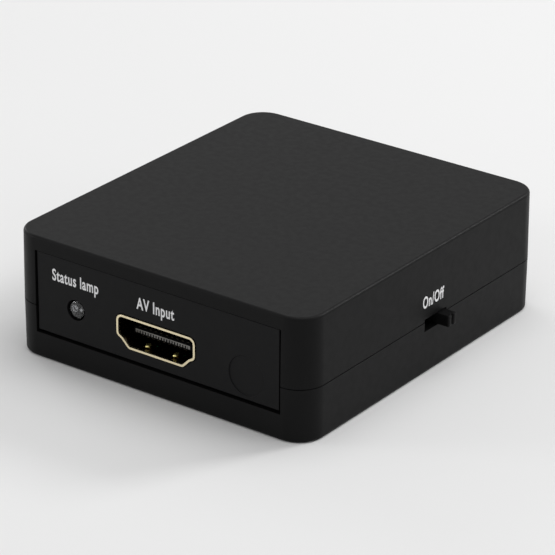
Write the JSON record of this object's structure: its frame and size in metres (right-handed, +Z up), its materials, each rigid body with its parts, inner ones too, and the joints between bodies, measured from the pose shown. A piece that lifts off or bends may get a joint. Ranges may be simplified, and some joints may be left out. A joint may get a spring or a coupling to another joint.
{
  "type": "video signal splitter",
  "caption": "Small black box that splits a video and sound signal: input socket and power lamp in front, output sockets behind, slide switch and power inlet at the sides.",
  "frame": {"origin": "centre of the flat underside of the case", "axes": "+Z up, -Y out of the front panel with the input socket, +X out of the side with the switch"},
  "size_m": [0.0571, 0.062, 0.02],
  "materials": {
    "case_plastic": "fine matte moulded black plastic",
    "panel_plastic": "fine matte black plastic panel",
    "knob_plastic": "smooth matte black plastic",
    "insulator_plastic": "smooth black connector plastic",
    "gold_plate": "pale gold plating over bent sheet",
    "contact_gold": "gold-plated contacts",
    "tinned_steel": "tin plating",
    "screw_steel": "blackened zinc plating",
    "lamp_resin": "clear cast resin",
    "board_laminate": "green lacquered laminate",
    "chip_resin": "moulded chip resin",
    "ceramic": "fired ceramic"
  },
  "bodies": {
    "case": {"top_cover": "case_plastic", "bottom_cover": "case_plastic", "front_panel": "panel_plastic", "rear_panel": "panel_plastic", "case_screws": "screw_steel", "circuit_board": "board_laminate", "input_shell": "gold_plate", "input_insulator": "insulator_plastic", "input_contacts": "contact_gold", "left_output_shell": "gold_plate", "left_output_insulator": "insulator_plastic", "left_output_contacts": "contact_gold", "right_output_shell": "gold_plate", "right_output_insulator": "insulator_plastic", "right_output_contacts": "contact_gold", "power_inlet_shell": "tinned_steel", "power_inlet_insulator": "insulator_plastic", "power_inlet_contacts": "contact_gold", "power_lamp_lens": "lamp_resin", "power_lamp_wires": "tinned_steel", "power_lamp_holder": "insulator_plastic", "switch_frame": "tinned_steel", "switch_base": "insulator_plastic", "switch_terminals": "contact_gold", "splitter_chip": "chip_resin", "memory_chip": "chip_resin", "regulator": "chip_resin", "power_coil": "chip_resin", "can_capacitor_bases": "chip_resin", "resistors": "chip_resin", "splitter_chip_leads": "tinned_steel", "memory_chip_leads": "tinned_steel", "regulator_leads": "tinned_steel", "crystal_can": "tinned_steel", "can_capacitors": "tinned_steel", "ceramic_capacitors": "ceramic"},
    "slider": {"switch_slider": "knob_plastic", "switch_contact": "contact_gold"}
  },
  "joints": [
    {"name": "power_switch_slide", "type": "slide", "parent": "case", "child": "slider", "axis": [0, -1, 0], "range_m": [0, 0.003]}
  ]
}
